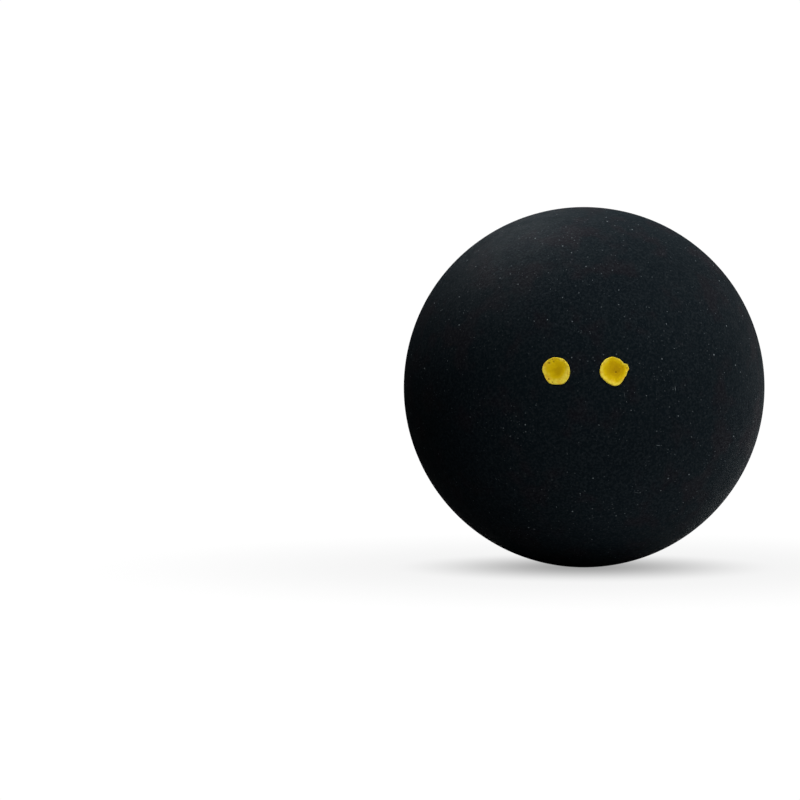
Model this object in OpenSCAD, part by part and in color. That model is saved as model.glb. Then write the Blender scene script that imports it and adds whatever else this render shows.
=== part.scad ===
// Squash ball: two moulded rubber half shells, bonded rim to rim and buffed round, with two paint
// dots on one half and a row-and-lozenge print on the other.
// The centre of the ball is the origin. The moulding axis lies along Y, so that the dots face -Y,
// the print faces +Y and the seam is the upright circle between them. +Z is up.

/* [Ball] */
// Outside diameter of the ball
ball_d = 40; // [34:0.5:50]
// Thickness of the rubber wall
wall_t = 4.7; // [3:0.1:6.5]

/* [Seam] */
// Thickness of the cured rubber solution between the two rims
bond_t = 0.2; // [0.1:0.05:0.5]
// Depth of the hairline that the seam leaves in the buffed skin
seam_sink = 0.03; // [0.01:0.01:0.1]
// Leg of the chamfer round the inner edge of each rim
rim_chamfer = 0.6; // [0.3:0.1:1]
// Width by which the squeezed-out bead laps past each chamfer
bead_lap = 0.15; // [0.05:0.05:0.4]
// Height that the squeezed-out bead stands into the hollow
bead_stand = 0.4; // [0.2:0.1:0.8]

/* [Dots] */
// Diameter of each paint dot
dot_d = 3; // [2:0.02:4]
// Distance between the middles of the two dots
dot_pitch = 6.15; // [5:0.01:9]
// Height of the pair above the middle of the half shell
dot_rise = 2.4; // [0:0.1:6]
// Thickness of the dried paint at the middle of a dot
dot_film_t = 0.08; // [0.04:0.01:0.12]
// Thickness of the dried paint at the rim of a dot
dot_rim_t = 0.16; // [0.13:0.01:0.3]
// Radius of the shallow dish that the paint dries to
dish_r = 16; // [8:1:40]
// Length by which the right dot's blunt tail passes its round edge
dot_tail = 0.25; // [0:0.05:0.4]
// Angle of the tail from the right
dot_tail_angle = 15; // [0:5:90]
// Half the angle that the tail covers
dot_tail_half_angle = 13; // [8:1:20]

/* [Print] */
// Thickness of the printed ink
ink_t = 0.05; // [0.03:0.01:0.1]
// Angle by which the print is turned, anticlockwise as it is read
print_turn = 7; // [-45:1:45]
// Distance of the upper row from the ball's moulding axis
upper_row_r = 9.9; // [9:0.1:12]
// Number of blocks in the upper row
upper_count = 3; // [1:1:5]
// Width of an upper block
upper_w = 2.6; // [1.5:0.1:3.5]
// Height of an upper block
upper_h = 2.9; // [2:0.1:3.5]
// Space between the upper blocks
upper_gap = 0.55; // [0.3:0.05:1]
// Distance of the lower row from the ball's moulding axis
lower_row_r = 11.2; // [10.5:0.1:13]
// Number of ticks in the lower row
lower_count = 21; // [9:1:25]
// Width of a lower tick
lower_w = 0.6; // [0.3:0.02:0.8]
// Height of a short lower tick
lower_h = 1.3; // [0.8:0.1:1.8]
// Height of a long lower tick
lower_long_h = 2.1; // [1.8:0.1:3]
// Space between the lower ticks
lower_gap = 0.72; // [0.4:0.02:1]
// Count from one long tick to the next
long_tick_every = 5; // [2:1:8]
// Number of lozenges along each side of the middle mark
lozenge_count = 3; // [1:1:4]
// Width of one lozenge, corner to corner
lozenge_w = 3.3; // [2:0.1:3.5]
// Height of one lozenge, corner to corner
lozenge_h = 3.7; // [2:0.1:3.8]
// Space between two lozenges that lie side by side, corner to corner
lozenge_gap = 0.6; // [0.2:0.1:1]

/* [Hidden] */

rubber_colour = [0.07, 0.08, 0.09];
bond_colour = [0.12, 0.12, 0.12];
dot_colour = [0.74, 0.63, 0.09];
ink_colour = [0.55, 0.61, 0.67];

// Steps round the ball, round the fine arcs of the thin paint, and round a dot's outline
ball_steps = 160;
paint_steps = 720;
outline_steps = 72;

ball_r = ball_d / 2;
hollow_r = ball_r - wall_t;

// The bead is the segment of a circle through its two lapping edges and its crest
bead_half_w = bond_t / 2 + rim_chamfer + bead_lap;
bead_r = (bead_half_w * bead_half_w + bead_stand * bead_stand) / (2 * bead_stand);
bead_centre_r = hollow_r - bead_stand + bead_r;

dot_half_angle = asin(dot_pitch / 2 / ball_r);
dot_rise_angle = asin(dot_rise / ball_r);

// Radius of each dot's outline every 15 degrees, anticlockwise from its right, as shares of a disc's
left_dot_shares = [0.99, 0.99, 0.99, 0.98, 1.00, 0.99, 0.99, 1.01, 1.01, 1.02, 1.04, 1.04,
                   1.01, 0.93, 0.94, 0.96, 1.00, 0.99, 0.96, 1.00, 1.06, 1.05, 1.03, 1.01];
right_dot_shares = [0.98, 0.98, 0.95, 0.94, 0.97, 0.98, 1.03, 1.03, 1.03, 1.01, 1.01, 1.00,
                    1.01, 1.01, 0.99, 0.95, 0.97, 1.00, 1.06, 1.07, 1.02, 0.95, 0.92, 0.97];

// The tail's edge falls away between these shares of its half angle
tail_top_share = 0.75;
tail_root_share = 1.25;

// One rim-down half of the wall in its own plane: x is the distance from the moulding axis
module shell_profile() {
    difference() {
        intersection() {
            circle(ball_r, $fn = ball_steps);
            translate([0, bond_t / 2]) square(ball_r);
        }
        circle(hollow_r, $fn = ball_steps);
        translate([hollow_r, bond_t / 2]) rotate(45) square(rim_chamfer * sqrt(2), center = true);
    }
}

// The film between the rims and its bead, in the same plane
module bond_profile() {
    difference() {
        union() {
            intersection() {
                circle(ball_r - seam_sink, $fn = ball_steps);
                translate([hollow_r, -bond_t / 2]) square([wall_t, bond_t]);
            }
            translate([bead_centre_r, 0]) circle(bead_r, $fn = ball_steps);
        }
        shell_profile();
        mirror([0, 1]) shell_profile();
    }
}

module half_shell() {
    rotate_extrude($fn = ball_steps) shell_profile();
}

// Frame of the dot face: z points out of the ball towards -Y, x to the right as it is seen
module facing_dots() {
    rotate([90, 0, 0]) children();
}

// Frame of the print face: z points out of the ball towards +Y, x to the right as it is read
module facing_print() {
    rotate([90, 0, 180]) rotate(print_turn) children();
}

// A coat on the skin of the ball, cut to the outline given as children and lying along z
module skin_coat(thickness) {
    intersection() {
        difference() {
            sphere(ball_r + thickness, $fn = ball_steps);
            sphere(ball_r, $fn = ball_steps);
        }
        translate([0, 0, ball_r / 2]) linear_extrude(ball_r) children();
    }
}

// Smooth closed curve through the shares, which stand at equal angles
function share_at(shares, step) =
    let (n = len(shares),
         place = step * n / outline_steps,
         i = floor(place),
         t = place - i,
         a = shares[(i + n - 1) % n],
         b = shares[i % n],
         c = shares[(i + 1) % n],
         d = shares[(i + 2) % n])
    b + t / 2 * (c - a + t * (2 * a - 5 * b + 4 * c - d + t * (3 * (b - c) + d - a)));

// Height of the tail's outline over the drop's own edge, as a share of the tail's length
function tail_at(angle) =
    let (off = abs((angle - dot_tail_angle + 180) % 360 - 180) / dot_tail_half_angle,
         t = min(max((tail_root_share - off) / (tail_root_share - tail_top_share), 0), 1))
    t * t * (3 - 2 * t);

function dot_outline(shares, tail) =
    [for (step = [0 : outline_steps - 1])
        let (angle = 360 * step / outline_steps,
             r = dot_d / 2 * share_at(shares, step) + tail * tail_at(angle))
        [r * cos(angle), r * sin(angle)]];

// Half of the section through a dried drop of paint: thick at its rim and dished in the middle
module paint_profile() {
    difference() {
        intersection() {
            circle(ball_r + dot_rim_t, $fn = paint_steps);
            square([dot_d, ball_d]);
        }
        circle(ball_r, $fn = paint_steps);
        translate([0, ball_r + dot_film_t + dish_r]) circle(dish_r, $fn = paint_steps);
    }
}

module paint_dot(shares, tail) {
    intersection() {
        rotate_extrude($fn = ball_steps) paint_profile();
        translate([0, 0, ball_r / 2]) linear_extrude(ball_r) polygon(dot_outline(shares, tail));
    }
}

// Puts a dot on its side of the pair: -1 is the left one and 1 the right one, as they are seen
module on_dot_side(side) {
    rotate([0, 0, side * dot_half_angle]) rotate([-dot_rise_angle, 0, 0]) facing_dots() children();
}

// Angle round the print from one mark of a row to the next
function row_step(row_r, mark_w, gap) = (mark_w + gap) / row_r * 180 / PI;

// Copies a mark along a row, clockwise as it is read, with the row's middle at the clock angle given
module in_row(row_r, count, mark_w, gap, middle) {
    for (i = [0 : count - 1]) {
        turn = middle + (i - (count - 1) / 2) * row_step(row_r, mark_w, gap);
        $mark = i;
        rotate(-turn) rotate([-asin(row_r / ball_r), 0, 0]) children();
    }
}

module ink_block(size) {
    skin_coat(ink_t) square(size, center = true);
}

module dot_half_shell() {
    color(rubber_colour) facing_dots() half_shell();
}

module print_half_shell() {
    color(rubber_colour) rotate([-90, 0, 0]) half_shell();
}

module seam_bond() {
    color(bond_colour) facing_dots() rotate_extrude($fn = ball_steps) bond_profile();
}

module left_dot() {
    color(dot_colour) on_dot_side(-1) paint_dot(left_dot_shares, 0);
}

module right_dot() {
    color(dot_colour) on_dot_side(1) paint_dot(right_dot_shares, dot_tail);
}

module upper_print() {
    color(ink_colour) facing_print()
        in_row(upper_row_r, upper_count, upper_w, upper_gap, 0) ink_block([upper_w, upper_h]);
}

module lozenge() {
    polygon([[lozenge_w, 0], [0, lozenge_h], [-lozenge_w, 0], [0, -lozenge_h]] / 2);
}

module middle_print() {
    last = lozenge_count - 1;
    pitch_x = lozenge_w + lozenge_gap;
    pitch_y = lozenge_h * pitch_x / lozenge_w;
    color(ink_colour) facing_print()
        for (i = [0 : last], j = [0 : last])
            skin_coat(ink_t)
                translate([(i - j) * pitch_x, (i + j - last) * pitch_y] / 2) lozenge();
}

module lower_print() {
    middle_tick = (lower_count - 1) / 2;
    color(ink_colour) facing_print()
        in_row(lower_row_r, lower_count, lower_w, lower_gap, 180)
            ink_block([lower_w, ($mark - middle_tick) % long_tick_every == 0 ? lower_long_h : lower_h]);
}

dot_half_shell();
print_half_shell();
seam_bond();
left_dot();
right_dot();
upper_print();
middle_print();
lower_print();
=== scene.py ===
"""Squash ball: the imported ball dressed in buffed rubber, dried dot paint and worn printing ink.

The ball's centre is the origin and its moulding axis lies along Y: the dots face -Y, the print faces
+Y, and the seam is the upright circle between them. All lengths are in metres.
"""
import logging
import math
from dataclasses import dataclass
from enum import Enum
from functools import cached_property
from typing import Callable, ClassVar

import bpy
from mathutils import Matrix, Vector, noise


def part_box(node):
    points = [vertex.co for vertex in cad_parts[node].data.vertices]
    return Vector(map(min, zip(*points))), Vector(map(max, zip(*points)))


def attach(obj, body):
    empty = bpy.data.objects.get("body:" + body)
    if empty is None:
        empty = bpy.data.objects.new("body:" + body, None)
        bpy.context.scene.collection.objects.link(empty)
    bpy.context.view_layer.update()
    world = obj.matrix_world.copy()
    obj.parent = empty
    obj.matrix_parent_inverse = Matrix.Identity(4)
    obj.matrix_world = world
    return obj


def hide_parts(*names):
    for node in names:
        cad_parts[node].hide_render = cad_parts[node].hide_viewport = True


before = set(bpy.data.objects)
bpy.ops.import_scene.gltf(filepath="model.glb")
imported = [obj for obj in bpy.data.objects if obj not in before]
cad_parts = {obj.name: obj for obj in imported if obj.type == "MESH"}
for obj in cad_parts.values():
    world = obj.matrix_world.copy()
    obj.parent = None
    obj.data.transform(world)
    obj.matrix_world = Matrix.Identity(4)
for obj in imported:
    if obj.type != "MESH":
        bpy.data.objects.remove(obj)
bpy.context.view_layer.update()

LOG = logging.getLogger("squash_ball")
MM = 0.001
MERGE_WITHIN = 0.001 * MM
NOISE_SEED = 1

Colour = tuple[float, float, float]
Place = tuple[float, float, float]
Point = tuple[float, float]
Material = bpy.types.Material
Node = bpy.types.Node
Object = bpy.types.Object
Socket = bpy.types.NodeSocket
Feed = Socket | float | Colour


class Half(Enum):
    """The two halves of the ball, by the way along Y that each one faces."""

    DOTS = -1
    PRINT = 1


class Side(Enum):
    """Which dot of the pair a dot is, as it is seen."""

    LEFT = -1
    RIGHT = 1


def pick(*pieces: Object) -> None:
    """Selects pieces for an operator, and no others.

    Args:
        *pieces: The pieces, of which the first becomes the active one.
    """
    bpy.ops.object.select_all(action="DESELECT")
    for piece in pieces:
        piece.select_set(True)
    bpy.context.view_layer.objects.active = pieces[0]


def name_piece(name: str) -> Object:
    """Names the active object and its mesh, and returns the object."""
    bpy.context.object.name = bpy.context.object.data.name = name
    return bpy.context.object


def edit() -> None:
    """Opens the active piece with all of it selected."""
    bpy.ops.object.mode_set(mode="EDIT")
    bpy.ops.mesh.select_mode(type="VERT")
    bpy.ops.mesh.select_all(action="SELECT")


def close_edit() -> None:
    """Merges what meets, turns the faces outwards and closes the active piece."""
    bpy.ops.mesh.select_all(action="SELECT")
    bpy.ops.mesh.remove_doubles(threshold=MERGE_WITHIN)
    bpy.ops.mesh.normals_make_consistent(inside=False)
    bpy.ops.object.mode_set(mode="OBJECT")


def select_vertices(piece: Object, wanted: Callable[[Vector], bool]) -> None:
    """Selects the vertices of the open piece that a test picks by their place.

    Args:
        piece: The piece, open in edit mode.
        wanted: Tells by a vertex's place whether it is wanted.
    """
    bpy.ops.mesh.select_all(action="DESELECT")
    bpy.ops.object.mode_set(mode="OBJECT")
    for vertex in piece.data.vertices:
        vertex.select = wanted(vertex.co)
    bpy.ops.object.mode_set(mode="EDIT")


def arc(radius: float, start: float, end: float, steps: int) -> list[Point]:
    """Points along an arc round the origin, both ends included, for angles in radians."""
    angles = [start + (end - start) * step / steps for step in range(steps + 1)]
    return [(radius * math.cos(angle), radius * math.sin(angle)) for angle in angles]


def smoothstep(low: float, high: float, value: float) -> float:
    """Rises smoothly from 0 at low to 1 at high."""
    t = min(max((value - low) / (high - low), 0), 1)
    return t * t * (3 - 2 * t)


@dataclass(frozen=True)
class Ramp:
    """A stretch of values that goes over smoothly to another one, and holds its ends.

    Attributes:
        low: Start of the stretch.
        high: End of the stretch.
        to_low: What the start becomes.
        to_high: What the end becomes.
    """

    low: float
    high: float
    to_low: float = 0
    to_high: float = 1


@dataclass(frozen=True)
class Layer:
    """A colour that lies over another one.

    Attributes:
        colour: The colour.
        share: How much of it shows, by what it follows.
    """

    colour: Colour
    share: Ramp


@dataclass(frozen=True)
class Clouds:
    """Cloudy noise on the object's coordinates.

    Attributes:
        size: Distance across one cloud.
        detail: Number of finer layers.
        roughness: Strength of the finer layers.
    """

    size: float
    detail: float = 2
    roughness: float = 0.5


@dataclass(frozen=True)
class Flecks:
    """Scattered flecks, at most one in each cell.

    Attributes:
        cell: Size of a cell.
        radius: Radius of the largest fleck.
        share: Part of the cells that hold a fleck, or how that follows something else.
        stretch: Length of a fleck over its width.
        faintest: Strength of the faintest fleck, as a share of the strongest.
        smallest: Radius of the smallest fleck, as a share of the largest.
        core: Share of a fleck's radius at which its soft edge begins.
    """

    cell: float
    radius: float
    share: Ramp | float
    stretch: float = 1
    faintest: float = 0.25
    smallest: float = 0.4
    core: float = 0.4


class NodeBench:
    """The nodes of a material or a world, with short calls for what they share."""

    def __init__(self, owner: Material | bpy.types.World) -> None:
        """Opens the nodes.

        Args:
            owner: The new material or world.
        """
        owner.use_nodes = True
        self.owner = owner
        self.nodes = owner.node_tree.nodes

    @cached_property
    def place(self) -> Socket:
        """The object's own coordinates."""
        return self.add("TexCoord").outputs["Object"]

    @cached_property
    def seen(self) -> Socket:
        """Is 1 for what the camera itself sees, and 0 for what lights the ball."""
        return self.add("LightPath").outputs["Is Camera Ray"]

    def feed(self, socket: Socket, value: Feed) -> None:
        """Links an output into a socket, or sets the socket to a plain value.

        Args:
            socket: The socket.
            value: The output, the number or the colour.
        """
        if isinstance(value, Socket):
            self.owner.node_tree.links.new(value, socket)
        elif isinstance(value, tuple):
            socket.default_value = (*value, 1)
        else:
            socket.default_value = value

    def supply(self, node: Node, inputs: dict[str, Feed]) -> Node:
        """Feeds a node's inputs by their names.

        Args:
            node: The node.
            inputs: What each input gets.

        Returns:
            The node.
        """
        for name, value in inputs.items():
            self.feed(node.inputs[name], value)
        return node

    def add(self, kind: str, *first: Feed, **settings: str) -> Node:
        """Adds a node.

        Args:
            kind: Blender's name for it, after ShaderNode.
            *first: What its first inputs get, in their order.
            **settings: Its own settings.

        Returns:
            The node.
        """
        node = self.nodes.new(f"ShaderNode{kind}")
        for name, value in settings.items():
            setattr(node, name, value)
        for socket, value in zip(node.inputs, first):
            self.feed(socket, value)
        return node

    def attribute(self, name: str) -> Socket:
        """Reads a number that the mesh holds for each vertex."""
        return self.add("Attribute", attribute_name=name).outputs["Fac"]

    def math(self, operation: str, *terms: Feed) -> Socket:
        """Works out a sum by Blender's name for it, such as MULTIPLY."""
        return self.add("Math", *terms, operation=operation).outputs[0]

    def span(self, value: Feed, ramp: Ramp) -> Socket:
        """Carries a value over along a ramp."""
        ends = (ramp.low, ramp.high, ramp.to_low, ramp.to_high)
        return self.add("MapRange", value, *ends, interpolation_type="SMOOTHSTEP").outputs["Result"]

    def blend(self, share: Feed, first: Feed, second: Feed) -> Socket:
        """Blends two colours.

        Args:
            share: How much of the second colour shows.
            first: The colour at 0.
            second: The colour at 1.

        Returns:
            The blended colour's socket.
        """
        node = self.add("Mix", share, data_type="RGBA")
        self.feed(node.inputs[6], first)
        self.feed(node.inputs[7], second)
        return node.outputs[2]

    def coat(self, under: Feed, layer: Layer, follows: Feed) -> Socket:
        """Lays a colour over another one, by what it follows."""
        return self.blend(self.span(follows, layer.share), under, layer.colour)

    def either(self, share: Feed, first: Node, second: Node) -> Node:
        """Mixes two shaders, by how much of the second one shows."""
        return self.add("MixShader", share, first.outputs[0], second.outputs[0])

    def noise(self, clouds: Clouds) -> Socket:
        """Lays cloudy noise over the object, from about 0.2 to 0.8."""
        form = {"Scale": 1 / clouds.size, "Detail": clouds.detail, "Roughness": clouds.roughness}
        return self.supply(self.add("TexNoise", self.place), form).outputs["Fac"]

    def scatter(self, flecks: Flecks, follows: Socket | None = None, turn: Place = (0, 0, 0)) -> Socket:
        """Scatters flecks over the object.

        Args:
            flecks: Their size and number.
            follows: What their number follows, if anything.
            turn: Angles by which the pattern is turned, in degrees.

        Returns:
            A socket that has a fleck's strength on it, and 0 beside it.
        """
        mapping = self.add("Mapping", self.place, vector_type="TEXTURE")
        mapping.inputs["Rotation"].default_value = [math.radians(angle) for angle in turn]
        mapping.inputs["Scale"].default_value = (flecks.stretch, 1, 1)
        cells = self.add("TexVoronoi", mapping.outputs["Vector"])
        self.supply(cells, {"Scale": 1 / flecks.cell})
        chance = self.add("SeparateColor", cells.outputs["Color"])
        share = self.span(follows, flecks.share) if follows else flecks.share
        strength = self.span(chance.outputs["Blue"], Ramp(0, 1, flecks.faintest, 1))
        held = self.math("MULTIPLY", self.math("LESS_THAN", chance.outputs["Red"], share), strength)
        size = self.math("MULTIPLY_ADD", chance.outputs["Green"], 1 - flecks.smallest, flecks.smallest)
        reach = self.math("DIVIDE", cells.outputs["Distance"], size)
        edge = Ramp(flecks.core * flecks.radius / flecks.cell, flecks.radius / flecks.cell, 1, 0)
        return self.math("MULTIPLY", held, self.span(reach, edge))

    def bump(self, height: Feed, depth: float, under: Socket | None = None) -> Socket:
        """Raises fine relief of some depth, on a coarser one if there is any."""
        relief = {"Height": height, "Distance": depth} | ({"Normal": under} if under else {})
        return self.supply(self.add("Bump"), relief).outputs["Normal"]


@dataclass(frozen=True)
class Finish:
    """What a surface is made of.

    Attributes:
        name: Name of the finish.
        grain: Its grain.
        relief: Depth of the grain.
        roughness: How rough it is, by its sheen, or else by its grain.
        shine: Strength of its shine.
        sheen: The patches that were left rougher or smoother, if any.
        swells: The coarser relief under the grain, if any.
        swell_depth: Its depth.
    """

    name: str
    grain: Clouds
    relief: float
    roughness: Ramp
    shine: float
    sheen: Clouds | None = None
    swells: Clouds | None = None
    swell_depth: float = 0

    def material(self) -> Material:
        """The material, made once and shared from then on."""
        return bpy.data.materials.get(self.name) or self.mix()

    def mix(self) -> Material:
        """Mixes the material.

        Returns:
            The material.
        """
        bench = NodeBench(bpy.data.materials.new(self.name))
        grain = bench.noise(self.grain)
        sheen = bench.noise(self.sheen) if self.sheen else grain
        under = bench.bump(bench.noise(self.swells), self.swell_depth) if self.swells else None
        bench.supply(bench.nodes["Principled BSDF"], {
            "Base Color": self.colour(bench, grain),
            "Roughness": bench.span(sheen, self.roughness),
            "Specular IOR Level": self.shine,
            "Normal": bench.bump(grain, self.relief, under),
        })
        return bench.owner

    def colour(self, bench: NodeBench, grain: Socket) -> Socket:
        """The colour's socket, which each finish mixes in its own way."""
        raise NotImplementedError


@dataclass(frozen=True)
class BuffedRubber(Finish):
    """Near-black butyl rubber with a fine buffed grain, pale dust and short scuffs.

    Attributes:
        black: Colour of the clean rubber.
        cloud: Its faint clouds.
        warm: Their colour.
        dust: Colour of the chalky dust, and how it lies on the grain.
        drift: The drifts that the dust lies in.
        specks: The coarse dust.
        haze: The finest dust.
        haze_strength: Its strength.
        scuffs: The scuffs.
        scuff_turns: Angles by which three sets of scuffs are turned, in degrees.
    """

    name: str = "buffed_rubber"
    grain: Clouds = Clouds(0.26 * MM, 3, 0.6)
    relief: float = 0.03 * MM
    roughness: Ramp = Ramp(0.3, 0.7, 0.66, 0.78)
    shine: float = 0.025
    sheen: Clouds = Clouds(1.4 * MM, 3)
    swells: Clouds = Clouds(1.6 * MM)
    swell_depth: float = 0.02 * MM
    black: Colour = (0.0032, 0.0066, 0.0092)
    cloud: Clouds = Clouds(4 * MM, 3)
    warm: Layer = Layer((0.0072, 0.0062, 0.0088), Ramp(0.5, 0.66, 0, 0.65))
    dust: Layer = Layer((0.18, 0.21, 0.225), Ramp(0.4, 0.68, 0, 0.038))
    drift: Clouds = Clouds(8 * MM, 3)
    specks: Flecks = Flecks(0.8 * MM, 0.12 * MM, Ramp(0.4, 0.62, 0.08, 0.75))
    haze: Flecks = Flecks(0.4 * MM, 0.1 * MM, Ramp(0.35, 0.65, 0.25, 0.8))
    haze_strength: float = 0.3
    scuffs: Flecks = Flecks(0.5 * MM, 0.05 * MM, 0.18, stretch=14)
    scuff_turns: tuple[Place, ...] = ((20, 35, 70), (80, 10, 25), (45, 80, 10))

    def dusting(self, bench: NodeBench) -> Socket:
        """How much dust lies on the skin.

        Args:
            bench: The material's nodes.

        Returns:
            The dust's socket, from 0 to 1.
        """
        drift = bench.noise(self.drift)
        haze = bench.math("MULTIPLY", bench.scatter(self.haze, drift), self.haze_strength)
        dust = bench.math("MAXIMUM", bench.scatter(self.specks, drift), haze)
        for turn in self.scuff_turns:
            dust = bench.math("MAXIMUM", dust, bench.scatter(self.scuffs, turn=turn))
        return dust

    def colour(self, bench: NodeBench, grain: Socket) -> Socket:
        """Lays warm clouds and dust over the clean rubber."""
        ground = bench.coat(self.black, self.warm, bench.noise(self.cloud))
        return bench.blend(self.dusting(bench), bench.coat(ground, self.dust, grain), self.dust.colour)


@dataclass(frozen=True)
class CuredSolution(Finish):
    """Cured rubber solution: darker and smoother than the buffed skin beside it.

    Attributes:
        thin: Colour where the film is thin.
        thick: Colour where it has gathered.
    """

    name: str = "cured_solution"
    grain: Clouds = Clouds(0.8 * MM, 4)
    relief: float = 0.02 * MM
    roughness: Ramp = Ramp(0.3, 0.7, 0.56, 0.7)
    shine: float = 0.04
    thin: Colour = (0.0022, 0.0024, 0.0026)
    thick: Layer = Layer((0.006, 0.005, 0.0046), Ramp(0.35, 0.65))

    def colour(self, bench: NodeBench, grain: Socket) -> Socket:
        """The film is paler where it has gathered."""
        return bench.coat(self.thin, self.thick, grain)


@dataclass(frozen=True)
class DriedPaint(Finish):
    """Yellow paint that dried to a pale rim round a deeper, darker dish.

    Its colours follow the way out, from 0 at the dish's lowest point to 1 at the edge.

    Attributes:
        middle: Colour in the dish.
        thinnest: Colour where the film is so thin that the rubber darkens it.
        body: Colour on the way to the rim.
        rim: Colour on the rim.
        waves: The waves that their borders follow.
        wander: How far the borders stray.
        patches: The thin places near the rim.
        orange: Their colour.
        patch_reach: Where they lie.
        grain_share: How much of the dish's colour shows in the grain.
        pores: The pores.
        pit: Colour down in a pit or a pore.
    """

    name: str = "dried_paint"
    grain: Clouds = Clouds(0.22 * MM, 3)
    relief: float = 0.015 * MM
    roughness: Ramp = Ramp(0.3, 0.7, 0.42, 0.6)
    shine: float = 0.04
    middle: Colour = (0.595, 0.367, 0.001)
    thinnest: Layer = Layer((0.485, 0.285, 0.001), Ramp(-0.4, 0, 1, 0))
    body: Layer = Layer((0.83, 0.578, 0.003), Ramp(0.1, 0.62))
    rim: Layer = Layer((1, 0.8, 0.075), Ramp(0.55, 0.95))
    waves: Clouds = Clouds(0.9 * MM)
    wander: Ramp = Ramp(0.25, 0.75, -0.16, 0.16)
    patches: Clouds = Clouds(0.6 * MM)
    orange: Layer = Layer((0.85, 0.47, 0.02), Ramp(0.5, 0.66, 0, 0.6))
    patch_reach: Ramp = Ramp(0.5, 0.8)
    grain_share: Ramp = Ramp(0.3, 0.7, 0.2, 0)
    pores: Flecks = Flecks(0.45 * MM, 0.07 * MM, Ramp(0.5, 0.95, 0, 0.4))
    pit: Layer = Layer((0.24, 0.12, 0.002), Ramp(0.1, 1, 0, 0.85))

    def colour(self, bench: NodeBench, grain: Socket) -> Socket:
        """Goes from the dark dish to the pale rim, and darkens the grain, the pores and the pits.

        Args:
            bench: The material's nodes.
            grain: The grain's socket.

        Returns:
            The colour's socket.
        """
        wander = bench.span(bench.noise(self.waves), self.wander)
        out = bench.math("ADD", bench.attribute("rim_share"), wander)
        colour = self.middle
        for layer in (self.thinnest, self.body, self.rim):
            colour = bench.coat(colour, layer, out)
        patches = bench.span(bench.noise(self.patches), self.orange.share)
        near_rim = bench.math("MULTIPLY", patches, bench.span(out, self.patch_reach))
        colour = bench.blend(near_rim, colour, self.orange.colour)
        colour = bench.blend(bench.span(grain, self.grain_share), colour, self.middle)
        pits = bench.span(bench.attribute("pit_share"), self.pit.share)
        holes = bench.math("MAXIMUM", bench.scatter(self.pores, out), pits)
        return bench.blend(holes, colour, self.pit.colour)


@dataclass(frozen=True)
class PrintedInk(Finish):
    """Thin blue-grey ink with the rubber's grain showing through.

    Attributes:
        ink: Colour of the full film.
        film: The thick and the thin places of the film.
        pale: Colour of the thick ones.
        worn: Colour where the grain has worn it thin.
        gaps: The gaps in the film.
        bare: Colour of the rubber in a gap.
    """

    name: str = "printed_ink"
    grain: Clouds = Clouds(0.2 * MM, 4, 0.65)
    relief: float = 0.02 * MM
    roughness: Ramp = Ramp(0.3, 0.7, 0.55, 0.75)
    shine: float = 0.06
    ink: Colour = (0.26, 0.33, 0.4)
    film: Clouds = Clouds(1.2 * MM)
    pale: Layer = Layer((0.32, 0.4, 0.47), Ramp(0.35, 0.65))
    worn: Layer = Layer((0.13, 0.17, 0.21), Ramp(0.3, 0.5, 1, 0))
    gaps: Flecks = Flecks(0.32 * MM, 0.07 * MM, 0.22)
    bare: Colour = (0.02, 0.024, 0.03)

    def colour(self, bench: NodeBench, grain: Socket) -> Socket:
        """Wears the film down on the grain and opens small gaps in it."""
        film = bench.coat(self.ink, self.pale, bench.noise(self.film))
        return bench.blend(bench.scatter(self.gaps), bench.coat(film, self.worn, grain), self.bare)


@dataclass(frozen=True)
class Skin:
    """The buffed outer skin, which everything on the ball follows.

    Attributes:
        radius: Radius of the plain ball, which the skin never passes.
        waver: Depth to which buffing cuts below the plain ball.
        patch: Distance across a buffed patch.
        fade: Depth in the wall by which the waver has faded out.
    """

    radius: float
    waver: float = 0.03 * MM
    patch: float = 7 * MM
    fade: float = 1 * MM

    def settle(self, piece: Object) -> None:
        """Sinks a piece that was shaped on the plain ball with the buffed skin.

        Args:
            piece: The piece.
        """
        for vertex in piece.data.vertices:
            distance = vertex.co.length
            share = smoothstep(self.radius - self.fade, self.radius, distance)
            rise = noise.noise(vertex.co * (self.radius / distance / self.patch))
            vertex.co *= 1 - share * self.waver * (1 + rise) / 2 / distance


@dataclass(frozen=True)
class BallPiece:
    """What the pieces of the ball share.

    Attributes:
        skin: The ball's skin.
        layer: Last word of the piece's name.
        slot: Name of its material slot; not used.
        crease: Angle between two faces over which their edge stays sharp, in degrees.
    """

    skin: Skin
    layer: ClassVar[str]
    slot: ClassVar[str]
    crease: ClassVar[float]

    def put_on_ball(self, piece: Object, node: str, finish: Finish) -> None:
        """Settles a finished piece on the skin, dresses it and lets it stand for its solid.

        Args:
            piece: The piece, which is active and has its place in its mesh.
            node: The solid that it stands for.
            finish: What its surface is.
        """
        self.skin.settle(piece)
        bpy.ops.object.shade_smooth_by_angle(angle=math.radians(self.crease))
        piece.data.materials.clear()
        piece.data.materials.append(finish.material())
        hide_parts(node)
        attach(piece, "root")
        LOG.info("%s: %d faces, %s", piece.name, len(piece.data.polygons), finish.name)


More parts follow.
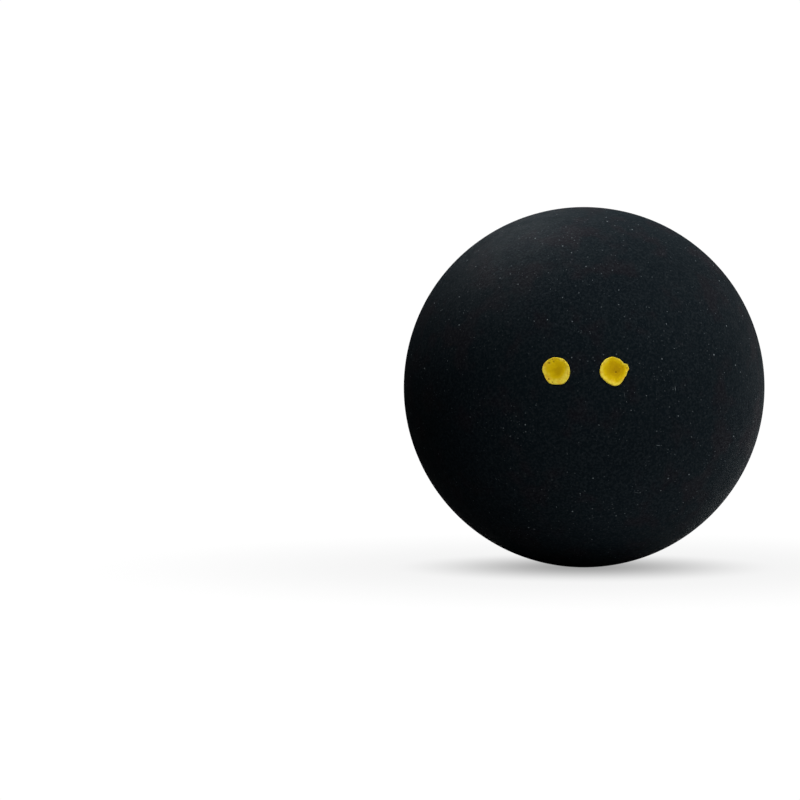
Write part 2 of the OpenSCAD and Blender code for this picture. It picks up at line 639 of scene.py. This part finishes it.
@dataclass(frozen=True)
class SpunPiece(BallPiece):
    """A piece of the wall: a section that is spun round the moulding axis.

    Attributes:
        hollow_r: Radius of the hollow.
        rim_gap: Distance from the seam's plane to each rim.
        chamfer: Leg of the chamfer round the inner edge of each rim.
        steps: Steps round the moulding axis.
    """

    crease: ClassVar[float] = 30
    hollow_r: float
    rim_gap: float
    chamfer: float = 0.6 * MM
    steps: int = 256

    def outline(self) -> list[Point]:
        """The section, whose points have their distance from the moulding axis first."""
        raise NotImplementedError

    def build(self, node: str, finish: Finish) -> None:
        """Draws the section as one vertex extruded from point to point, spins it and dresses it.

        Args:
            node: The solid that it stands for.
            finish: What its surface is.
        """
        bpy.ops.mesh.primitive_plane_add(size=MM)
        piece = name_piece(f"{node}_{self.layer}")
        edit()
        bpy.ops.mesh.merge(type="CENTER")
        here = Vector()
        for x, y in self.outline():
            step = Vector((x, y, 0)) - here
            if here.length:
                bpy.ops.mesh.extrude_vertices_move(TRANSFORM_OT_translate={"value": step})
            else:
                bpy.ops.transform.translate(value=step)
            here += step
        bpy.ops.mesh.select_all(action="SELECT")
        bpy.ops.mesh.spin(steps=self.steps, angle=math.tau, use_auto_merge=True, axis=(0, 1, 0))
        close_edit()
        self.put_on_ball(piece, node, finish)


@dataclass(frozen=True, kw_only=True)
class HalfShell(SpunPiece):
    """One moulded half of the wall, with its chamfered rim.

    Attributes:
        half: Which half it is.
        lip: Leg of the soft break round the rim's outer edge.
        outer_steps: Steps from the pole to the rim.
        inner_steps: Steps from the rim to the hollow's pole.
    """

    layer: ClassVar[str] = "skin"
    slot: ClassVar[str] = "rubber"
    half: Half
    lip: float = 0.04 * MM
    outer_steps: int = 128
    inner_steps: int = 42

    def outline(self) -> list[Point]:
        """Half of its section, from the pole round the rim to the hollow's pole.

        Returns:
            The points.
        """
        radius = self.skin.radius
        rim_start = math.asin((self.rim_gap + self.lip) / radius)
        chamfer_end = math.asin((self.rim_gap + self.chamfer) / self.hollow_r)
        outer = arc(radius, math.pi / 2, rim_start, self.outer_steps)
        rim = [(radius - self.lip, self.rim_gap), (self.hollow_r + self.chamfer, self.rim_gap)]
        inner = arc(self.hollow_r, chamfer_end, math.pi / 2, self.inner_steps)
        return [(x, y * self.half.value) for x, y in outer + rim + inner]


@dataclass(frozen=True, kw_only=True)
class SeamBond(SpunPiece):
    """The cured film between the two rims, with the bead that it squeezes into the hollow.

    Attributes:
        bead_half_w: Half the width of the bead.
        bead_stand: Height of the bead over the hollow's wall.
        bead_steps: Steps across the bead.
        sink: Depth of the hairline that the film leaves in the skin.
    """

    layer: ClassVar[str] = "film"
    slot: ClassVar[str] = "bond"
    bead_half_w: float
    bead_stand: float = 0.4 * MM
    bead_steps: int = 12
    sink: float = 0.03 * MM

    def outline(self) -> list[Point]:
        """The whole section through the bond, back to its first point.

        Returns:
            The points.
        """
        floor = self.skin.radius - self.sink
        bead_r = (self.bead_half_w ** 2 + self.bead_stand ** 2) / (2 * self.bead_stand)
        middle = self.hollow_r - self.bead_stand + bead_r
        opening = math.asin(self.bead_half_w / bead_r)
        bead = [(middle - x, y) for x, y in arc(bead_r, -opening, opening, self.bead_steps)]
        low = [(floor, -self.rim_gap), (self.hollow_r + self.chamfer, -self.rim_gap)]
        high = [(x, -y) for x, y in reversed(low)]
        return low + bead + high + low[:1]


@dataclass(frozen=True)
class Pit:
    """A small hollow where a bubble burst in the paint.

    Attributes:
        x: Place to the right of the dot's middle.
        y: Place above it.
        radius: Radius of the pit.
    """

    x: float
    y: float
    radius: float


@dataclass(frozen=True)
class Tail:
    """The blunt tail that a brush or a needle pulls out of a drop of paint, or no tail.

    Attributes:
        angle: Angle of its middle from the right, in degrees.
        half_angle: Half the angle that it covers, halfway down its flanks.
        reach: Length by which it passes the drop's own edge.
        top_share: Where a flank starts, as a share of the half angle.
        root_share: Where it ends.
    """

    angle: float = 0
    half_angle: float = 1
    reach: float = 0
    top_share: float = 0.55
    root_share: float = 1.45

    def length_at(self, angle: float) -> float:
        """Length by which the edge passes the drop's own edge, at an angle in degrees."""
        off = abs((angle - self.angle + 180) % 360 - 180) / self.half_angle
        return self.reach * smoothstep(self.root_share, self.top_share, off)


@dataclass(frozen=True)
class PaintDot(BallPiece):
    """One dried drop of paint.

    Attributes:
        side: Which dot of the pair it is.
        shares: Radius of its edge every 15 degrees from the right, as shares of a plain disc's.
        pits: The pits in its face.
        low: Place of its dish's lowest point beside its middle.
        tail: The tail on its edge.
        thinness: Share of the way to the edge over which the paint stays dark.
        diameter: Diameter of the plain disc.
        pitch: Distance between the middles of the two dots.
        rise: Height of the pair above the moulding axis.
        film_t: Thickness in the dish.
        rim_t: Thickness on the rim.
        rim_at: Place of the rim between the middle, 0, and the edge, 1.
        dish_power: How late and steeply the dish rises to the rim.
        sag: Share of the radius by which the rim's pale colour reaches further in below the middle and
            less far above it, so that the dot is paler towards its foot and darker towards its top.
        ripple: Height of the ripples in its face.
        ripple_w: Distance across a ripple.
        pit_depth: Depth of a pit.
        root: Depth by which its underside keys into the rubber.
        rings: Rings from the edge to the middle.
        steps: Steps round the edge.
    """

    layer: ClassVar[str] = "paint"
    slot: ClassVar[str] = "dot_paint"
    crease: ClassVar[float] = 50
    side: Side
    shares: tuple[float, ...]
    pits: tuple[Pit, ...]
    low: Point
    tail: Tail = Tail()
    thinness: float = 0
    diameter: float = 2.96 * MM
    pitch: float = 6.15 * MM
    rise: float = 2.4 * MM
    film_t: float = 0.06 * MM
    rim_t: float = 0.16 * MM
    rim_at: float = 0.94
    dish_power: int = 3
    sag: float = 0.16
    ripple: float = 0.012 * MM
    ripple_w: float = 0.5 * MM
    pit_depth: float = 0.05 * MM
    root: float = 0.03 * MM
    rings: int = 50
    steps: int = 144

    def edge_r(self, angle: float) -> float:
        """Radius of the dot's edge.

        Args:
            angle: Angle from the right, anticlockwise, in radians.

        Returns:
            The radius there, on a smooth curve through the shares, with the tail added.
        """
        count = len(self.shares)
        place = angle / math.tau * count % count
        first = int(place)
        t = place - first
        a, b, c, d = (self.shares[(first + i) % count] for i in (-1, 0, 1, 2))
        share = b + t / 2 * (c - a + t * (2 * a - 5 * b + 4 * c - d + t * (3 * (b - c) + d - a)))
        return self.diameter / 2 * share + self.tail.length_at(math.degrees(angle))

    def pitting(self, x: float, y: float) -> float:
        """How deep a place lies in the pits, from 0 to 1."""
        reaches = [math.hypot(x - pit.x, y - pit.y) / pit.radius for pit in self.pits]
        return math.exp(-min(reaches) ** 2)

    def height(self, share: float, x: float, y: float) -> float:
        """Thickness of the paint.

        Args:
            share: Place between the lowest point of the dish, 0, and the edge, 1.
            x: Place to the right of the middle.
            y: Place above it.

        Returns:
            The thickness there.
        """
        dish = self.film_t + (self.rim_t - self.film_t) * min(share / self.rim_at, 1) ** self.dish_power
        over = max(share - self.rim_at, 0) / (1 - self.rim_at)
        ripple = self.ripple * noise.noise(Vector((x, y, self.side.value)) / self.ripple_w)
        pit = self.pit_depth * self.pitting(x, y)
        return max((dish + ripple * (1 - over) - pit) * math.sqrt(max(1 - over ** 2, 0)), 0)

    def shape(self, piece: Object) -> None:
        """Carries the plain disc of rings over to the drop's real form on the ball.

        Args:
            piece: The disc, of radius 1, with its underside at z = -1.
        """
        ball_r = self.skin.radius
        across = Matrix.Rotation(self.side.value * math.asin(self.pitch / 2 / ball_r), 4, "Z")
        up = Matrix.Rotation(-math.asin(self.rise / ball_r), 4, "X")
        place = across @ up @ Matrix.Rotation(math.pi / 2, 4, "X")
        rims = piece.data.attributes.new("rim_share", "FLOAT", "POINT")
        pits = piece.data.attributes.new("pit_share", "FLOAT", "POINT")
        for vertex in piece.data.vertices:
            share = min(math.hypot(vertex.co.x, vertex.co.y), 1)
            angle = math.atan2(vertex.co.y, vertex.co.x)
            radius = share * self.edge_r(angle)
            x, y = radius * math.cos(angle), radius * math.sin(angle)
            low_x, low_y = x - self.low[0] * (1 - share), y - self.low[1] * (1 - share)
            from_low = min(math.hypot(low_x, low_y) / self.edge_r(math.atan2(low_y, low_x)), 1)
            height = -self.root if vertex.co.z < 0 else self.height(from_low, x, y)
            out = Vector((x, y, math.sqrt(ball_r ** 2 - radius ** 2)))
            vertex.co = place @ (out * (1 + height / ball_r))
            from_dark = (from_low - self.thinness) / (1 - self.thinness)
            # The rim's colour reaches further in at the bottom than at the top: the dot is paler
            # towards its foot and darker towards its top.
            rims.data[vertex.index].value = from_dark - self.sag * y / (self.diameter / 2)
            pits.data[vertex.index].value = self.pitting(x, y)

    def build(self, node: str, finish: Finish) -> None:
        """Makes the drop from rings of a circle and puts it on the ball.

        Args:
            node: The solid that it stands for.
            finish: The paint.
        """
        bpy.ops.mesh.primitive_circle_add(vertices=self.steps, radius=1)
        piece = name_piece(f"{node}_{self.layer}")
        edit()
        for ring in range(self.rings - 1, 0, -1):
            bpy.ops.mesh.extrude_edges_move()
            bpy.ops.transform.resize(value=(ring / (ring + 1), ring / (ring + 1), 1))
        bpy.ops.mesh.extrude_edges_move()
        bpy.ops.mesh.merge(type="CENTER")
        select_vertices(piece, lambda place: place.length > 1 - 0.5 / self.rings)
        bpy.ops.mesh.extrude_edges_move(TRANSFORM_OT_translate={"value": (0, 0, -1)})
        bpy.ops.mesh.edge_face_add()
        close_edit()
        self.shape(piece)
        self.put_on_ball(piece, node, finish)


@dataclass(frozen=True)
class Mark:
    """One printed mark: a block or a lozenge with soft corners.

    Attributes:
        width: Width of the mark, corner to corner on a lozenge.
        height: Height of the mark, likewise.
        lozenge: Whether it stands on a corner.
        cell: Size of the cells that its film is divided into.
        corner: How far each corner is cut back.
        corner_steps: Steps round each corner.
    """

    width: float
    height: float
    lozenge: bool = False
    cell: float = 0.16 * MM
    corner: float = 0.1 * MM
    corner_steps: int = 3

    def make(self) -> Object:
        """Makes the mark flat at the origin, facing up.

        Returns:
            The mark.
        """
        side_w, side_h = self.width, self.height
        if self.lozenge:
            side_w = side_h = math.hypot(self.width, self.height) / 2
        columns, rows = (max(2, round(side / self.cell)) for side in (side_w, side_h))
        bpy.ops.mesh.primitive_grid_add(x_subdivisions=columns, y_subdivisions=rows, size=1)
        piece = name_piece("mark")
        edit()
        bpy.ops.transform.resize(value=(side_w, side_h, 1))
        reach = Vector((side_w, side_h, 0)).length / 2 - self.corner / 4
        select_vertices(piece, lambda place: place.length > reach)
        bpy.ops.mesh.bevel(offset=self.corner, segments=self.corner_steps, affect="VERTICES")
        bpy.ops.mesh.select_all(action="SELECT")
        if self.lozenge:
            diagonal = side_w * math.sqrt(2)
            size = (self.width / diagonal, self.height / diagonal, 1)
            bpy.ops.transform.rotate(value=math.pi / 4, orient_axis="Z", center_override=(0, 0, 0))
            bpy.ops.transform.resize(value=size, center_override=(0, 0, 0))
        bpy.ops.object.mode_set(mode="OBJECT")
        return piece


@dataclass(frozen=True)
class Row:
    """A row on an arc round the middle of the print.

    Attributes:
        radius: Distance of the row from the moulding axis.
        pitch: Distance along the row from one mark to the next.
        clock: Clockwise angle of the middle of the row from the top, in degrees.
    """

    radius: float
    pitch: float
    clock: float


@dataclass(frozen=True)
class Print(BallPiece):
    """The generic print: a row of blocks over a lattice of lozenges over a row of ticks.

    Attributes:
        turn: Angle by which the print is turned, anticlockwise as it is read, in degrees.
        ink_t: Thickness of the ink.
        root: Depth by which the film keys into the rubber.
        fray: Distance by which the edge of a mark strays.
        fray_w: Distance across one fray.
        block: One block.
        block_count: Number of blocks.
        block_row: Where they stand.
        lozenge: One lozenge.
        lozenge_count: Number of lozenges along each side of the lattice.
        lozenge_gap: Space between two lozenges side by side.
        tick: One short tick.
        long_tick: One long tick.
        long_every: Count from one long tick to the next.
        tick_count: Number of ticks.
        tick_row: Where they stand.
    """

    layer: ClassVar[str] = "ink"
    slot: ClassVar[str] = "print_ink"
    crease: ClassVar[float] = 40
    turn: float = 7
    ink_t: float = 0.045 * MM
    root: float = 0.03 * MM
    fray: float = 0.045 * MM
    fray_w: float = 0.3 * MM
    block: Mark = Mark(2.6 * MM, 2.9 * MM, corner=0.14 * MM)
    block_count: int = 3
    block_row: Row = Row(9.9 * MM, 3.15 * MM, 0)
    lozenge: Mark = Mark(3.3 * MM, 3.7 * MM, lozenge=True)
    lozenge_count: int = 3
    lozenge_gap: float = 0.6 * MM
    tick: Mark = Mark(0.6 * MM, 1.3 * MM)
    long_tick: Mark = Mark(0.6 * MM, 2.1 * MM)
    long_every: int = 5
    tick_count: int = 21
    tick_row: Row = Row(11.2 * MM, 1.32 * MM, 180)

    def lay(self, master: Object, shift: Point, turn: Matrix) -> Object:
        """Lays a copy of a mark on the ball as a film of ink.

        Args:
            master: The flat mark.
            shift: Place of the mark beside the axis that it is printed along.
            turn: Turns that axis from the middle of the print to the mark's place.

        Returns:
            The film, on the plain ball.
        """
        pick(master)
        bpy.ops.object.duplicate()
        piece = bpy.context.object
        outer = self.skin.radius + self.ink_t
        upright = Matrix.Rotation(math.pi, 4, "Z") @ Matrix.Rotation(math.pi / 2, 4, "X")
        place = upright @ Matrix.Rotation(math.radians(self.turn), 4, "Z") @ turn
        for vertex in piece.data.vertices:
            x, y = vertex.co.x + shift[0], vertex.co.y + shift[1]
            spot = place @ Vector((x, y, math.sqrt(outer ** 2 - x ** 2 - y ** 2)))
            stray = noise.noise_vector(spot / self.fray_w) * self.fray
            vertex.co = (spot + stray).normalized() * outer
        film = piece.modifiers.new("film", "SOLIDIFY")
        film.thickness = self.ink_t + self.root
        film.offset = -1
        bpy.ops.object.modifier_apply(modifier=film.name)
        return piece

    def row(self, marks: list[Mark], row: Row) -> list[Object]:
        """Lays a row of marks.

        Args:
            marks: The marks, clockwise.
            row: Where they stand.

        Returns:
            The films.
        """
        tilt = Matrix.Rotation(-math.asin(row.radius / self.skin.radius), 4, "X")
        masters = {mark: mark.make() for mark in dict.fromkeys(marks)}
        films = []
        for number, mark in enumerate(marks):
            along = (number - (len(marks) - 1) / 2) * row.pitch / row.radius
            spin = Matrix.Rotation(-math.radians(row.clock) - along, 4, "Z")
            films.append(self.lay(masters[mark], (0, 0), spin @ tilt))
        for master in masters.values():
            bpy.data.objects.remove(master)
        return films

    def lattice(self) -> list[Object]:
        """Lays the lattice of lozenges in the middle of the print.

        Returns:
            The films.
        """
        pitch_x = self.lozenge.width + self.lozenge_gap
        pitch_y = self.lozenge.height * pitch_x / self.lozenge.width
        master = self.lozenge.make()
        films = []
        for i in range(self.lozenge_count):
            for j in range(self.lozenge_count):
                place = ((i - j) * pitch_x / 2, (i + j - self.lozenge_count + 1) * pitch_y / 2)
                films.append(self.lay(master, place, Matrix()))
        bpy.data.objects.remove(master)
        return films

    def join(self, films: list[Object], node: str, ink: Finish) -> None:
        """Joins the films of one part of the print and puts them on the ball.

        Args:
            films: The films.
            node: The solid that they stand for.
            ink: The ink.
        """
        pick(*films)
        bpy.ops.object.join()
        self.put_on_ball(name_piece(f"{node}_{self.layer}"), node, ink)

    def build(self, ink: Finish) -> None:
        """Builds the three parts of the print.

        Args:
            ink: The ink.
        """
        self.join(self.row([self.block] * self.block_count, self.block_row), "upper_print", ink)
        self.join(self.lattice(), "middle_print", ink)
        kinds = [self.long_tick] + [self.tick] * (self.long_every - 1)
        ticks = [kinds[number % self.long_every] for number in range(self.tick_count)]
        self.join(self.row(ticks, self.tick_row), "lower_print", ink)


@dataclass(frozen=True)
class Ball:
    """The whole ball, in the sizes of its parts in model.glb.

    Attributes:
        wall_t: Thickness of the wall.
    """

    wall_t: float = 4.7 * MM

    def dots(self, skin: Skin) -> dict[str, PaintDot]:
        """The left dot with a corner on its left, and the right one with a foot and a blunt tail.

        Args:
            skin: The ball's skin.

        Returns:
            The dots by the solids that they stand for.
        """
        left_shares = (0.99, 0.99, 0.99, 0.98, 1, 0.99, 0.99, 1.01, 1.01, 1.02, 1.04, 1.04,
                       1.01, 0.93, 0.94, 0.96, 1, 0.99, 0.96, 1, 1.06, 1.05, 1.03, 1.01)
        right_shares = (0.98, 0.98, 0.95, 0.94, 0.97, 0.98, 1.03, 1.03, 1.03, 1.01, 1.01, 1,
                        1.01, 1.01, 0.99, 0.95, 0.97, 1, 1.06, 1.07, 1.02, 0.95, 0.92, 0.97)
        left_pits = (
            Pit(-0.76 * MM, 0.86 * MM, 0.12 * MM), Pit(-0.26 * MM, 0.99 * MM, 0.09 * MM),
            Pit(-0.42 * MM, 1.24 * MM, 0.06 * MM), Pit(0.86 * MM, 1.03 * MM, 0.06 * MM),
            Pit(-0.78 * MM, -0.87 * MM, 0.1 * MM), Pit(-0.36 * MM, -1.2 * MM, 0.08 * MM),
        )
        right_pits = (
            Pit(0.22 * MM, -0.14 * MM, 0.09 * MM), Pit(1.36 * MM, 0.3 * MM, 0.06 * MM),
            Pit(1.46 * MM, 0.31 * MM, 0.06 * MM),
        )
        tail = Tail(angle=16, half_angle=15, reach=0.22 * MM)
        low = (0.42 * MM, 0.15 * MM)
        left = PaintDot(skin, Side.LEFT, left_shares, left_pits, low=(0.2 * MM, 0))
        right = PaintDot(skin, Side.RIGHT, right_shares, right_pits, low, tail, thinness=0.4)
        return {"left_dot": left, "right_dot": right}

    def build(self) -> None:
        """Builds every piece of the ball."""
        shell_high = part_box("dot_half_shell")[1]
        bead_half_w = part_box("seam_bond")[1].y
        skin = Skin(radius=shell_high.x)
        wall = (skin, skin.radius - self.wall_t, -shell_high.y)
        rubber, paint = BuffedRubber(), DriedPaint()
        HalfShell(*wall, half=Half.DOTS).build("dot_half_shell", rubber)
        HalfShell(*wall, half=Half.PRINT).build("print_half_shell", rubber)
        SeamBond(*wall, bead_half_w=bead_half_w).build("seam_bond", CuredSolution())
        for node, dot in self.dots(skin).items():
            dot.build(node, paint)
        Print(skin).build(PrintedInk())


@dataclass(frozen=True)
class StudioLight:
    """A light that hangs round the ball.

    Attributes:
        name: Name of the light.
        place: Its middle.
        power: Power in watts.
    """

    name: str
    place: Place
    power: float

    def hang(self, lamp: bpy.types.Light, aim: Vector) -> None:
        """Hangs the lamp in its place.

        Args:
            lamp: The lamp.
            aim: The point that it is turned towards.
        """
        lamp.energy = self.power
        holder = bpy.data.objects.new(self.name, lamp)
        bpy.context.scene.collection.objects.link(holder)
        holder.location = self.place
        holder.rotation_euler = (aim - Vector(self.place)).to_track_quat("-Z", "Y").to_euler()
        holder.visible_camera = False


@dataclass(frozen=True)
class Softbox(StudioLight):
    """A wide soft light.

    Attributes:
        side: Side of its square face.
    """

    side: float = 0.35

    def build(self) -> None:
        """Hangs the light, turned towards the ball."""
        lamp = bpy.data.lights.new(self.name, "AREA")
        lamp.shape = "SQUARE"
        lamp.size = self.side
        self.hang(lamp, Vector())


@dataclass(frozen=True)
class Snoot(StudioLight):
    """A snooted light, whose beam fades out before it reaches the left side of the ball.

    Attributes:
        edge: Distance from the ball's middle to the middle of the beam's soft edge.
        softness: Width of the soft edge.
        half_angle: Half the angle of the beam, in degrees.
        radius: Radius of the lamp.
    """

    edge: float = 12 * MM
    softness: float = 16 * MM
    half_angle: float = 8
    radius: float = 10 * MM

    def build(self) -> None:
        """Hangs the light, turned past the ball on its right."""
        distance = Vector(self.place).length
        ray = Vector(self.place) / distance
        left = Vector((-1, 0, 0))
        shaded = (left - left.dot(ray) * ray).normalized()
        half = math.radians(self.half_angle)
        beam_r = distance * math.tan(half)
        full_angle = math.atan((beam_r - self.softness) / distance)
        lamp = bpy.data.lights.new(self.name, "SPOT")
        lamp.spot_size = 2 * half
        lamp.spot_blend = 1 - (1 - math.cos(full_angle)) / (1 - math.cos(half))
        lamp.shadow_soft_size = self.radius
        self.hang(lamp, shaded * (self.edge + self.softness / 2 - beam_r))


@dataclass(frozen=True)
class Studio:
    """The pale floor, the soft light and the camera.

    Attributes:
        distance: Distance from the camera to the ball.
        azimuth: Angle by which the camera stands to the right of the dots' side, in degrees.
        elevation: Height of the camera over the ball, in degrees.
        picture_w: Width of the picture, in pixels.
        ball_px: Place of the ball's middle in the picture.
        ball_r_px: Radius of the ball in the picture.
        sensor_w: Width of the camera's sensor.
        clip: Nearest and farthest distance that the camera sees.
        floor_half: Half the width of the floor.
        white: Brightness of the backdrop and the bare floor.
        painted_foot_shade: Painted shade: brightness of the floor over the distance from the ball's
            foot, darkest at the foot, in place of the ball's contact shadow.
        painted_wide_shade: The wider part of that painted shade.
        bounce_with_painted_shade: Share of the light that the floor throws back, along the x axis: low
            on the left as a painted shade that darkens the ball's left side, and a plain bounce towards
            the right.
        fill: Strength of the even light from all round.
        fill_colour: Its colour.
    """

    distance: float = 0.45
    azimuth: float = -0.34
    elevation: float = 2
    picture_w: float = 800
    ball_px: Point = (583.8, 387.2)
    ball_r_px: float = 180.2
    sensor_w: float = 36 * MM
    clip: Point = (10 * MM, 4)
    floor_half: float = 1.5
    white: float = 1.02
    painted_foot_shade: Ramp = Ramp(0, 22 * MM, 0.4, 1)
    painted_wide_shade: Ramp = Ramp(0, 70 * MM, 0.88, white)
    bounce_with_painted_shade: Ramp = Ramp(-36 * MM, -8 * MM, 0.12, 0.75)
    fill: float = 0.002
    fill_colour: Colour = (0.96, 0.98, 1)

    def build_camera(self, ball_r: float) -> None:
        """Sets the camera in front of the ball, turned so that the ball stands in its place.

        Args:
            ball_r: Radius of the ball.
        """
        camera = bpy.data.cameras.new("camera")
        holder = bpy.data.objects.new("camera", camera)
        bpy.context.scene.collection.objects.link(holder)
        bpy.context.scene.camera = holder
        tilt = math.radians(self.elevation)
        across = Matrix.Rotation(math.radians(self.azimuth), 4, "Z")
        aim = across @ Matrix.Rotation(math.pi / 2 - tilt, 4, "X")
        holder.location = aim @ Vector((0, 0, self.distance))
        pixels_deep = self.ball_r_px / math.tan(math.asin(ball_r / self.distance))
        camera.sensor_width = self.sensor_w / MM
        camera.lens = camera.sensor_width * pixels_deep / self.picture_w
        right = (self.ball_px[0] - self.picture_w / 2) / pixels_deep
        down = (self.ball_px[1] - self.picture_w / 2) / pixels_deep
        seen = Vector((right, -down, -1)).normalized()
        turn = seen.rotation_difference(Vector((0, 0, -1)))
        holder.matrix_world = Matrix.Translation(holder.location) @ aim @ turn.to_matrix().to_4x4()
        camera.clip_start, camera.clip_end = self.clip

    def build_floor(self, floor_z: float) -> None:
        """Lays a pale floor with a soft painted shade round the ball's foot.

        Args:
            floor_z: Height of the floor.
        """
        bpy.ops.mesh.primitive_plane_add(size=2 * self.floor_half, location=(0, 0, floor_z))
        floor = name_piece("floor")
        bench = NodeBench(bpy.data.materials.new("floor_paper"))
        reach = bench.add("VectorMath", bench.place, operation="LENGTH")
        # Painted shade: the camera sees the floor darkened round the ball's foot, in place of a cast
        # contact shadow.
        near = bench.span(reach.outputs["Value"], self.painted_foot_shade)
        wide = bench.span(reach.outputs["Value"], self.painted_wide_shade)
        glow = bench.supply(bench.add("Emission"), {"Strength": bench.math("MULTIPLY", near, wide)})
        from_below = bench.add("NewGeometry").outputs["Backfacing"]
        paper = bench.either(from_below, glow, bench.add("BsdfTransparent"))
        # Painted shade: the light that the floor throws back onto the ball is darker on the left, which
        # darkens the ball's left side; the camera never sees this.
        across = bench.add("SeparateXYZ", bench.place)
        bounce_with_painted_shade = bench.add("BsdfDiffuse", bench.span(across.outputs["X"], self.bounce_with_painted_shade))
        surface = bench.either(bench.seen, bounce_with_painted_shade, paper)
        bench.supply(bench.nodes["Material Output"], {"Surface": surface.outputs[0]})
        bench.nodes.remove(bench.nodes["Principled BSDF"])
        floor.data.materials.append(bench.owner)

    def build_room(self) -> None:
        """Surrounds the ball with a white backdrop and a weak, even light."""
        bench = NodeBench(bpy.data.worlds.new("room"))
        bpy.context.scene.world = bench.owner
        even = {"Color": self.fill_colour, "Strength": self.fill}
        fill = bench.supply(bench.nodes["Background"], even)
        surface = bench.either(bench.seen, fill, bench.add("Background", (1, 1, 1), self.white))
        bench.supply(bench.nodes["World Output"], {"Surface": surface.outputs[0]})

    def build(self, ball_r: float) -> None:
        """Builds the whole studio.

        Args:
            ball_r: Radius of the ball, which stands on the floor.
        """
        self.build_camera(ball_r)
        self.build_floor(-ball_r)
        self.build_room()
        for light in (
            Softbox("overhead", (0, 0, 0.6), 0.94),
            Softbox("right", (0.386, 0, 0.46), 2.55),
            Softbox("right_front", (0.41, -0.41, 0.155), 0.36),
            Softbox("right_back", (0.41, 0.41, 0.155), 0.55),
            Snoot("left_back", (-0.273, 0.273, 0.46), 11.6, edge=14 * MM),
            Snoot("back", (-0.157, 0.432, 0.386), 3),
            Snoot("left_front", (-0.273, -0.273, 0.46), 6.6, edge=10 * MM),
        ):
            light.build()
        bpy.context.scene.view_settings.view_transform = "Standard"


def main() -> None:
    """Builds the ball and then the studio round it, the same in each run."""
    logging.basicConfig(level=logging.INFO, format="%(message)s")
    noise.seed_set(NOISE_SEED)
    ball_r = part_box("dot_half_shell")[1].x
    Ball().build()
    Studio().build(ball_r)


if __name__ == "__main__":
    main()
